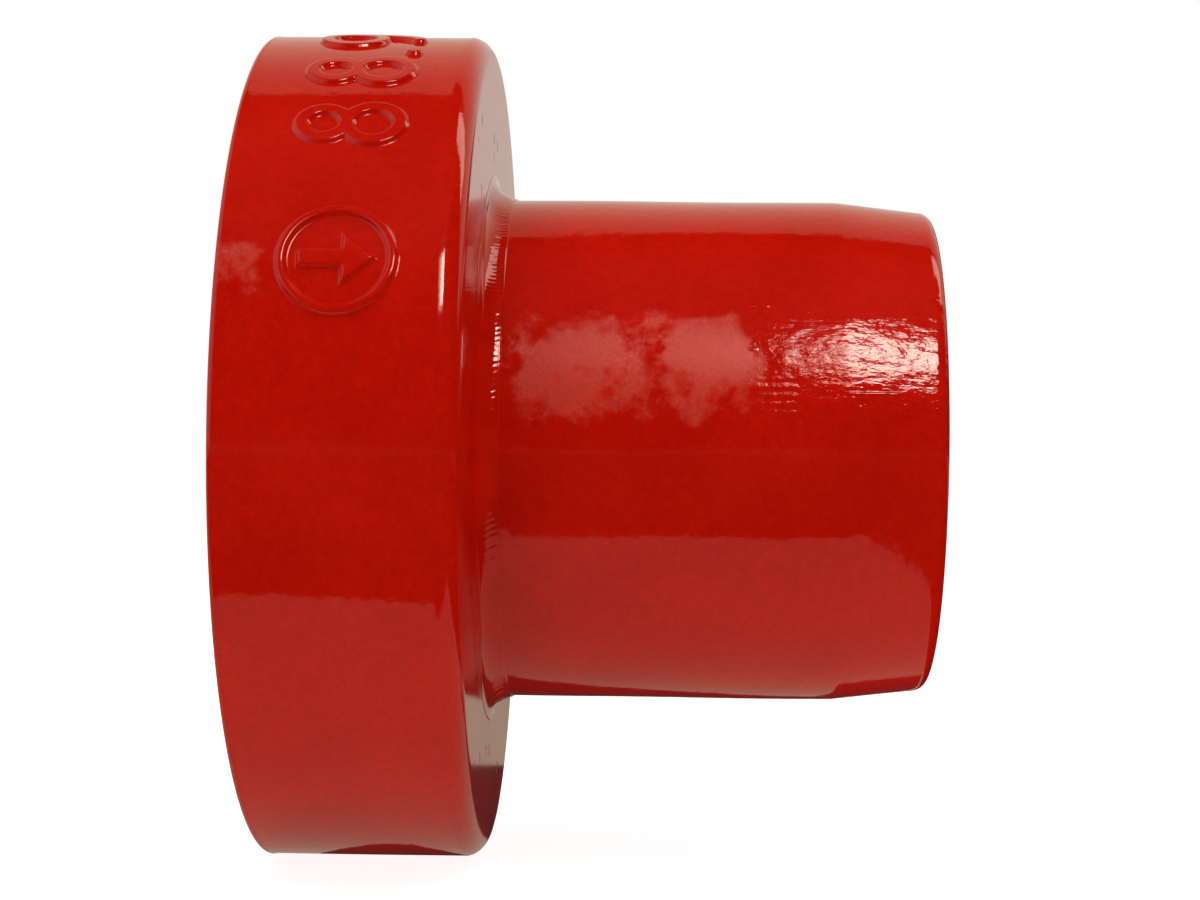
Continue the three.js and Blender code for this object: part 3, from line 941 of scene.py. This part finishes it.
def make_release_ring():
    """Ring in the mouth that pushes the keys off the pipe. A step keeps it in."""
    step_x = RELEASE_STOP_X + GAP
    outer = RELEASE_BORE_R - GAP
    corners = [
        (RELEASE_X0, RING_BORE_R, 1.1),
        (RELEASE_X0, outer, 0.5),
        (step_x, outer, 0.3),
        (step_x, RELEASE_R, 0.3),
        (step_x + RELEASE_STEP_T, RELEASE_R, 0.4),
        (step_x + RELEASE_STEP_T, outer, 0.3),
        (RELEASE_X1, outer, 0.4),
        (RELEASE_X1, RING_BORE_R, 0.4),
    ]
    obj = turned("release_ring_fine", rounded(corners), RING_PLASTIC, 240)
    return dress(obj, "release_ring", "ring_plastic", "release_ring")


make_collar()
make_tube()
make_bead()
make_cone_ring()
for number, place in enumerate(around(SCREW_COUNT), 1):
    make_screw(number, place)
make_gasket()
make_backup_ring()
make_wave_spring()
make_pusher()
for number, place in enumerate(around(KEY_COUNT, first=TURN / KEY_COUNT / 2), 1):
    make_key(number, place)
make_release_ring()


# ---- stage, lights and camera ----

FLOOR_Z = -COLLAR_R * MM
FLOOR_REACH = 4.0
FLOOR_COLOUR = (0.55, 0.55, 0.55)
FLOOR_MIRRORED = (0.04, 0.04, 0.03)
FLOOR_GLOW = 0.36               # the floor's even glow, which the paint reflects
FLOOR_CAMERA_GLOW = 0.90        # lifts the floor to white for the camera
FLOOR_WARMTH = (1.0, 0.92, 0.70)
DARK_COLOUR = (0.003, 0.003, 0.003)
BLACK = (0.0, 0.0, 0.0)

# The cards lie on the floor or stand behind the object, and only reflections see them.
REACH = 3.0                     # how far the wide cards go out
# The pale table's near edge as the paint reflects it, from left to right.
TABLE_EDGE = [(-REACH, -0.1248), (0.0, -0.1248), (0.037, -0.1185), (0.037, -0.1105), (REACH, -0.1105)]
TABLE_END_X = 0.128
TABLE_BACK_Y = 0.5
# The painted shadow of the object on the floor, under and behind it, as (x, y), which its lowest parts
# and back face reflect.
PAINTED_SHADOW_PATCH = [(0.009, -0.012), (0.013, -0.0165), (0.019, -0.0205), (0.026, -0.0205),
             (0.031, -0.0165), (0.0345, -0.012), (0.036, 0.004), (0.100, 0.060),
             (0.105, 0.014), (0.125, 0.016), (0.125, 0.118), (0.009, 0.118)]
PAINTED_SHADOW_GLOW = 0.02
PAINTED_SHADOW_LIFT = 0.0006               # heights of the cards above the floor
FRONT_LIFT = 0.002
RIGHT_LIFT = 0.003

WALL_Y = 0.9
# The wall as (x, height): narrow behind the object, wide above it, with a step in its top.
WALL_EDGE = [(-0.12, FLOOR_Z), (0.30, FLOOR_Z), (0.30, 0.25), (2.5, 0.6), (2.5, 1.86),
             (-0.01, 1.86), (-0.10, 2.5), (-2.5, 2.5), (-2.5, 0.6), (-0.12, 0.25)]
WALL_RADIANCE = 0.70
WALL_TOP_RADIANCE = 0.34
WALL_FADE = (0.1, 1.9)          # heights between which the radiance falls
WALL_LOW_TINT = (1.0, 0.95, 0.85)
WALL_HIGH_TINT = (1.0, 0.90, 0.64)
WALL_TINT_FADE = (0.1, 0.9)

SKY_FILL = 0.39                 # strength for diffuse light
SKY_LEFT = 0.6                  # strength for reflections from the left
SKY_FRONT = 0.004               # and from everywhere else
SKY_LEFT_EDGE = (-0.25, -0.7)   # x of the directions between which the left side starts and is full
WINDOW_TINT = (1.0, 0.90, 0.76)
WINDOW_DIM = 0.12               # share of a window's radiance on its faded side


def flat_material(name, colour, emission=0.0, tint=(1, 1, 1)):
    """(material, node tree, principled shader, X, Y and Z outputs) of a matt surface that can glow."""
    material, tree, shader, _, axis = new_material(name)
    shader.inputs["Base Color"].default_value = (*colour, 1)
    shader.inputs["Roughness"].default_value = 0.9
    shader.inputs["Emission Color"].default_value = (*tint, 1)
    shader.inputs["Emission Strength"].default_value = emission
    shader.inputs["Specular IOR Level"].default_value = 0.0
    return material, tree, shader, axis


def card(name, corners, material, seen_by_camera=False):
    """A flat stage panel. One that the camera doesn't see is only there for the reflections."""
    mesh = bpy.data.meshes.new(name)
    mesh.from_pydata(corners, [], [list(range(len(corners)))])
    mesh.materials.append(material)
    obj = bpy.data.objects.new(name, mesh)
    bpy.context.scene.collection.objects.link(obj)
    obj.visible_camera = seen_by_camera
    obj.visible_diffuse = seen_by_camera
    obj.visible_shadow = seen_by_camera


def rectangle(x0, x1, y0, y1):
    return [(x0, y0), (x1, y0), (x1, y1), (x0, y1)]


def on_floor(outline, lift):
    """Corners of a card that lies lift above the floor."""
    return [(x, y, FLOOR_Z + lift) for x, y in outline]


def pale_floor():
    """White to the camera. Reflections and bounced light get an even, dimmer, warm glow."""
    material, tree, shader, _ = flat_material("pale_floor", FLOOR_COLOUR)
    path = tree.nodes.new("ShaderNodeLightPath").outputs
    glow = ramp(tree, path["Is Camera Ray"], 0.0, 1.0, FLOOR_GLOW, FLOOR_CAMERA_GLOW)
    tree.links.new(glow, shader.inputs["Emission Strength"])
    tint = blend_colour(tree, path["Is Camera Ray"], FLOOR_WARMTH, (1.0, 1.0, 1.0))
    tree.links.new(tint, shader.inputs["Emission Color"])
    tone = blend_colour(tree, path["Is Glossy Ray"], FLOOR_COLOUR, FLOOR_MIRRORED)
    tree.links.new(tone, shader.inputs["Base Color"])
    return material


def white_wall():
    """Warm white glow, brightest low down, for the reflections only."""
    material, tree, shader, axis = flat_material("white_wall", BLACK, WALL_RADIANCE)
    glow = ramp(tree, axis["Z"], *WALL_FADE, WALL_RADIANCE, WALL_TOP_RADIANCE)
    tree.links.new(glow, shader.inputs["Emission Strength"])
    tint = blend_colour(tree, ramp(tree, axis["Z"], *WALL_TINT_FADE), WALL_LOW_TINT, WALL_HIGH_TINT)
    tree.links.new(tint, shader.inputs["Emission Color"])
    return material


def make_stage():
    """Pale floor that the camera sees, and the dark, painted-shadow and white cards that the paint
    reflects.
    """
    dark = flat_material("dark_room", DARK_COLOUR)[0]
    # a dim card that paints the object's shadow on the floor into the reflections
    painted_shadow = flat_material("painted_shadow_floor", BLACK, PAINTED_SHADOW_GLOW)[0]
    floor = rectangle(-FLOOR_REACH, FLOOR_REACH, -FLOOR_REACH, FLOOR_REACH)
    front = [(REACH, -REACH), (-REACH, -REACH), *TABLE_EDGE]
    right = rectangle(TABLE_END_X, REACH, TABLE_EDGE[-1][1], TABLE_BACK_Y)
    card("floor", on_floor(floor, 0.0), pale_floor(), seen_by_camera=True)
    card("dark_front", on_floor(front, FRONT_LIFT), dark)
    card("dark_right", on_floor(right, RIGHT_LIFT), dark)
    # painted shadow of the object, seen only in reflections
    card("shadow_behind", on_floor(PAINTED_SHADOW_PATCH, PAINTED_SHADOW_LIFT), painted_shadow)
    card("white_back", [(x, WALL_Y, height) for x, height in WALL_EDGE], white_wall())


def make_world():
    """White for the camera, soft for diffuse light, and for reflections bright only at the left."""
    world = bpy.data.worlds.new("studio")
    bpy.context.scene.world = world
    world.use_nodes = True
    tree = world.node_tree
    background = next(n for n in tree.nodes if n.type == "BACKGROUND")
    towards = split(tree, tree.nodes.new("ShaderNodeTexCoord").outputs["Generated"])
    left = ramp(tree, towards["X"], *SKY_LEFT_EDGE, 0.0, SKY_LEFT)
    mirrored = calc(tree, "ADD", left, SKY_FRONT)
    path = tree.nodes.new("ShaderNodeLightPath").outputs
    kind = {"data_type": "FLOAT"}
    inputs = {0: path["Is Glossy Ray"], 2: SKY_FILL, 3: mirrored}
    unseen = add_node(tree, "ShaderNodeMix", kind, inputs).outputs[0]
    inputs = {0: path["Is Camera Ray"], 2: unseen, 3: 1.0}
    strength = add_node(tree, "ShaderNodeMix", kind, inputs).outputs[0]
    tree.links.new(strength, background.inputs["Strength"])
    background.inputs["Color"].default_value = (1, 1, 1, 1)


def area_light(name, location, target, size, size_y, power):
    """A rectangular lamp that the paint doesn't mirror."""
    data = bpy.data.lights.new(name, "AREA")
    data.shape = "RECTANGLE"
    data.size, data.size_y = size, size_y
    data.energy = power
    obj = bpy.data.objects.new(name, data)
    obj.location = location
    obj.visible_glossy = False
    aim = Vector(target) - Vector(location)
    obj.rotation_euler = aim.to_track_quat("-Z", "Y").to_euler()
    bpy.context.scene.collection.objects.link(obj)


def lit_window(name, location, target, width, height, radiance, fade=None):
    """A bright panel that faces the target and is seen only in the paint's reflections.

    fade is the pair of x places between which it goes from dim to full.
    """
    turn = (Vector(target) - Vector(location)).to_track_quat("-Z", "Y")
    half_w, half_h = width / 2, height / 2
    corners = [Vector((x, y, 0)) for x, y in rectangle(-half_w, half_w, -half_h, half_h)]
    places = [tuple(Vector(location) + turn @ corner) for corner in corners]
    material, tree, shader, axis = flat_material(name, BLACK, radiance, WINDOW_TINT)
    if fade:
        glow = ramp(tree, axis["X"], *fade, WINDOW_DIM * radiance, radiance)
        tree.links.new(glow, shader.inputs["Emission Strength"])
    card(name, places, material)


FOCAL_PX = 2410.0               # in pixels of a 1200 px wide picture
CAMERA_AT = (0.0711, -0.4339, -0.0021)
CAMERA_YAW = math.radians(1.41)
CAMERA_PITCH = math.radians(-0.59)
CAMERA_ROLL = math.radians(-0.56)
CAMERA_SHIFT = (-0.0146, 0.0299)


def make_camera():
    data = bpy.data.cameras.new("camera")
    data.sensor_width = 36.0
    data.lens = 36.0 * FOCAL_PX / 1200.0
    data.shift_x, data.shift_y = CAMERA_SHIFT
    data.clip_start = 0.01
    obj = bpy.data.objects.new("camera", data)
    turn = (Matrix.Rotation(CAMERA_YAW, 4, "Z") @ Matrix.Rotation(CAMERA_PITCH, 4, "X")
            @ Matrix.Rotation(CAMERA_ROLL, 4, "Y"))
    look_along_y = Matrix.Rotation(math.pi / 2, 4, "X")
    obj.matrix_world = Matrix.Translation(CAMERA_AT) @ turn @ look_along_y
    bpy.context.scene.collection.objects.link(obj)
    bpy.context.scene.camera = obj


CENTRE = (0.05, 0.0, 0.0)       # what the lamps and windows point at

make_stage()
make_world()
area_light("overhead", (0.05, -0.25, 1.0), CENTRE, size=1.2, size_y=1.0, power=8.8)
area_light("low_front", (0.05, -0.70, -0.02), CENTRE, size=1.0, size_y=0.08, power=0.3)
lit_window("front_window", (0.305, -0.83, 0.80), CENTRE, width=0.41, height=0.30, radiance=21.0,
           fade=(0.10, 0.40))
lit_window("right_window", (0.75, 0.32, 0.92), CENTRE, width=0.25, height=0.70, radiance=3.0)
make_camera()
bpy.context.scene.view_settings.view_transform = "Standard"
